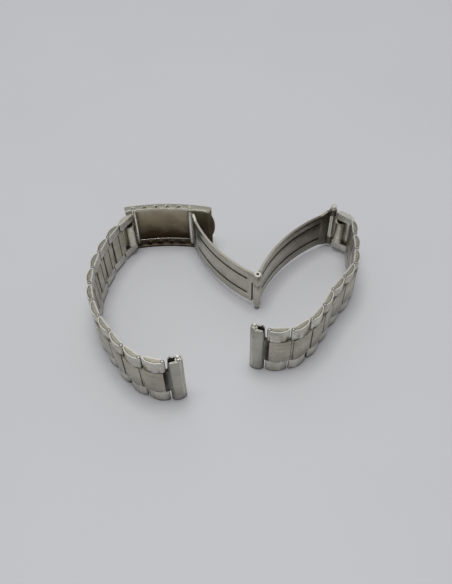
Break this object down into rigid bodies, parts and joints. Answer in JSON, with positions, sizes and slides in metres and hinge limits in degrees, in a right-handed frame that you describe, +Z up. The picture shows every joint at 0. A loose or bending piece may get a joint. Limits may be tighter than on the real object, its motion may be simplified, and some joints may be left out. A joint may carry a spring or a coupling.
{
  "type": "watch bracelet",
  "caption": "Three-row steel bracelet with folded links, curved end bars and a folding clasp, standing open on its side edge.",
  "frame": {"origin": "middle of the base of the bounding box, under the open loop", "axes": "+Z up, along the band width; +X from the left half to the right half, the long way of the loop; the camera of the picture looks towards +Y"},
  "size_m": [0.0804, 0.0614, 0.02],
  "materials": {
    "brushed_links": "satin, light wear",
    "polished_links": "polished with fine scratches",
    "clasp_cover": "satin outside, dull inside",
    "blades": "satin",
    "bars_and_pins": "turned, dull"
  },
  "bodies": {
    "clasp_cover": {"clasp_cover": "clasp_cover", "blade_pivot_pin": "bars_and_pins"},
    "left_link_01": {"left_01_outers": "brushed_links", "left_01_centre": "polished_links", "clasp_bar_barrel": "bars_and_pins"},
    "left_link_02": {"left_02_outers": "brushed_links", "left_02_centre": "polished_links"},
    "left_link_03": {"left_03_outers": "brushed_links", "left_03_centre": "polished_links"},
    "left_link_04": {"left_04_outers": "brushed_links", "left_04_centre": "polished_links"},
    "left_link_05": {"left_05_outers": "brushed_links", "left_05_centre": "polished_links"},
    "left_link_06": {"left_06_outers": "brushed_links", "left_06_centre": "polished_links"},
    "left_link_07": {"left_07_outers": "brushed_links", "left_07_centre": "polished_links"},
    "left_link_08": {"left_08_outers": "brushed_links", "left_08_centre": "polished_links"},
    "left_link_09": {"left_09_outers": "brushed_links", "left_09_centre": "polished_links"},
    "left_link_10": {"left_10_outers": "brushed_links", "left_10_centre": "polished_links"},
    "left_link_11": {"left_11_outers": "brushed_links", "left_11_centre": "polished_links"},
    "left_end": {"left_end_piece": "brushed_links", "left_bar_barrel": "bars_and_pins"},
    "blade_a": {"blade_a_cover_side": "blades"},
    "blade_b": {"blade_b_snap_side": "blades", "blade_hinge_pin": "bars_and_pins", "snap_bar": "bars_and_pins"},
    "right_link_01": {"right_01_outers": "brushed_links", "right_01_centre": "polished_links"},
    "right_link_02": {"right_02_outers": "brushed_links", "right_02_centre": "polished_links"},
    "right_link_03": {"right_03_outers": "brushed_links", "right_03_centre": "polished_links"},
    "right_link_04": {"right_04_outers": "brushed_links", "right_04_centre": "polished_links"},
    "right_link_05": {"right_05_outers": "brushed_links", "right_05_centre": "polished_links"},
    "right_link_06": {"right_06_outers": "brushed_links", "right_06_centre": "polished_links"},
    "right_link_07": {"right_07_outers": "brushed_links", "right_07_centre": "polished_links"},
    "right_link_08": {"right_08_outers": "brushed_links", "right_08_centre": "polished_links"},
    "right_link_09": {"right_09_outers": "brushed_links", "right_09_centre": "polished_links"},
    "right_link_10": {"right_10_outers": "brushed_links", "right_10_centre": "polished_links"},
    "right_end": {"right_end_piece": "brushed_links", "right_bar_barrel": "bars_and_pins"},
    "left_tip_top": {"left_bar_tip_top": "bars_and_pins"},
    "left_tip_bottom": {"left_bar_tip_bottom": "bars_and_pins"},
    "right_tip_top": {"right_bar_tip_top": "bars_and_pins"},
    "right_tip_bottom": {"right_bar_tip_bottom": "bars_and_pins"},
    "clasp_tip_top": {"clasp_bar_tip_top": "bars_and_pins"},
    "clasp_tip_bottom": {"clasp_bar_tip_bottom": "bars_and_pins"}
  },
  "joints": [
    {"name": "left_clasp_swing", "type": "hinge", "parent": "clasp_cover", "child": "left_link_01", "pos_m": [-0.02885, 0.02803, 0.009], "axis": [0, 0, -1], "range_deg": [-11, 30]},
    {"name": "left_bend_01", "type": "hinge", "parent": "left_link_01", "child": "left_link_02", "pos_m": [-0.03283, 0.02215, 0.009], "axis": [0, 0, 1], "range_deg": [-20.5, 13]},
    {"name": "left_bend_02", "type": "hinge", "parent": "left_link_02", "child": "left_link_03", "pos_m": [-0.03579, 0.01658, 0.009], "axis": [0, 0, 1], "range_deg": [-22, 18]},
    {"name": "left_bend_03", "type": "hinge", "parent": "left_link_03", "child": "left_link_04", "pos_m": [-0.03774, 0.01059, 0.009], "axis": [0, 0, 1], "range_deg": [-19, 21]},
    {"name": "left_bend_04", "type": "hinge", "parent": "left_link_04", "child": "left_link_05", "pos_m": [-0.03894, 0.00441, 0.009], "axis": [0, 0, 1], "range_deg": [-22.5, 17.5]},
    {"name": "left_bend_05", "type": "hinge", "parent": "left_link_05", "child": "left_link_06", "pos_m": [-0.039, -0.00189, 0.009], "axis": [0, 0, 1], "range_deg": [-25, 15]},
    {"name": "left_bend_06", "type": "hinge", "parent": "left_link_06", "child": "left_link_07", "pos_m": [-0.03763, -0.00804, 0.009], "axis": [0, 0, 1], "range_deg": [-22, 18]},
    {"name": "left_bend_07", "type": "hinge", "parent": "left_link_07", "child": "left_link_08", "pos_m": [-0.03522, -0.01386, 0.009], "axis": [0, 0, 1], "range_deg": [-23.5, 16.5]},
    {"name": "left_bend_08", "type": "hinge", "parent": "left_link_08", "child": "left_link_09", "pos_m": [-0.0317, -0.01909, 0.009], "axis": [0, 0, 1], "range_deg": [-14, 26]},
    {"name": "left_bend_09", "type": "hinge", "parent": "left_link_09", "child": "left_link_10", "pos_m": [-0.028, -0.02418, 0.009], "axis": [0, 0, 1], "range_deg": [-26.5, 13.5]},
    {"name": "left_bend_10", "type": "hinge", "parent": "left_link_10", "child": "left_link_11", "pos_m": [-0.02313, -0.02819, 0.009], "axis": [0, 0, 1], "range_deg": [-36, 4]},
    {"name": "left_bend_11", "type": "hinge", "parent": "left_link_11", "child": "left_end", "pos_m": [-0.01706, -0.02987, 0.009], "axis": [0, 0, 1], "range_deg": [-43, 4]},
    {"name": "clasp_pivot", "type": "hinge", "parent": "clasp_cover", "child": "blade_a", "pos_m": [-0.01107, 0.02782, 0.009], "axis": [0, 0, 1], "range_deg": [-15, 35]},
    {"name": "blade_fold", "type": "hinge", "parent": "blade_a", "child": "blade_b", "pos_m": [0.00871, 0.00079, 0.009], "axis": [0, 0, 1], "range_deg": [-90, 50]},
    {"name": "right_clasp_swing", "type": "hinge", "parent": "blade_b", "child": "right_link_01", "pos_m": [0.03394, 0.02619, 0.009], "axis": [0, 0, 1], "range_deg": [-25, 60]},
    {"name": "right_bend_01", "type": "hinge", "parent": "right_link_01", "child": "right_link_02", "pos_m": [0.03914, 0.02135, 0.009], "axis": [0, 0, -1], "range_deg": [-65, 4]},
    {"name": "right_bend_02", "type": "hinge", "parent": "right_link_02", "child": "right_link_03", "pos_m": [0.03876, 0.01506, 0.009], "axis": [0, 0, -1], "range_deg": [-12.5, 23.5]},
    {"name": "right_bend_03", "type": "hinge", "parent": "right_link_03", "child": "right_link_04", "pos_m": [0.03832, 0.00878, 0.009], "axis": [0, 0, -1], "range_deg": [-21, 15]},
    {"name": "right_bend_04", "type": "hinge", "parent": "right_link_04", "child": "right_link_05", "pos_m": [0.0369, 0.00264, 0.009], "axis": [0, 0, -1], "range_deg": [-36, 4]},
    {"name": "right_bend_05", "type": "hinge", "parent": "right_link_05", "child": "right_link_06", "pos_m": [0.03311, -0.00239, 0.009], "axis": [0, 0, -1], "range_deg": [-14.5, 21.5]},
    {"name": "right_bend_06", "type": "hinge", "parent": "right_link_06", "child": "right_link_07", "pos_m": [0.0291, -0.00725, 0.009], "axis": [0, 0, -1], "range_deg": [-2, 34]},
    {"name": "right_bend_07", "type": "hinge", "parent": "right_link_07", "child": "right_link_08", "pos_m": [0.026, -0.01274, 0.009], "axis": [0, 0, -1], "range_deg": [-21.5, 14.5]},
    {"name": "right_bend_08", "type": "hinge", "parent": "right_link_08", "child": "right_link_09", "pos_m": [0.02204, -0.01763, 0.009], "axis": [0, 0, -1], "range_deg": [-30, 6]},
    {"name": "right_bend_09", "type": "hinge", "parent": "right_link_09", "child": "right_link_10", "pos_m": [0.01675, -0.02106, 0.009], "axis": [0, 0, -1], "range_deg": [-44.5, 4]},
    {"name": "right_bend_10", "type": "hinge", "parent": "right_link_10", "child": "right_end", "pos_m": [0.01045, -0.02112, 0.009], "axis": [0, 0, -1], "range_deg": [-32.5, 4]},
    {"name": "left_press_top", "type": "slide", "parent": "left_end", "child": "left_tip_top", "axis": [0, 0, -1], "range_m": [0, 0.0012], "stiffness_N_per_m": 300, "springref_m": -0.001},
    {"name": "left_press_bottom", "type": "slide", "parent": "left_end", "child": "left_tip_bottom", "axis": [0, 0, 1], "range_m": [0, 0.0012], "stiffness_N_per_m": 300, "springref_m": -0.001},
    {"name": "right_press_top", "type": "slide", "parent": "right_end", "child": "right_tip_top", "axis": [0, 0, -1], "range_m": [0, 0.0012], "stiffness_N_per_m": 300, "springref_m": -0.001},
    {"name": "right_press_bottom", "type": "slide", "parent": "right_end", "child": "right_tip_bottom", "axis": [0, 0, 1], "range_m": [0, 0.0012], "stiffness_N_per_m": 300, "springref_m": -0.001},
    {"name": "clasp_press_top", "type": "slide", "parent": "left_link_01", "child": "clasp_tip_top", "axis": [0, 0, -1], "range_m": [0, 0.0009], "stiffness_N_per_m": 300, "springref_m": -0.001},
    {"name": "clasp_press_bottom", "type": "slide", "parent": "left_link_01", "child": "clasp_tip_bottom", "axis": [0, 0, 1], "range_m": [0, 0.0009], "stiffness_N_per_m": 300, "springref_m": -0.001}
  ]
}
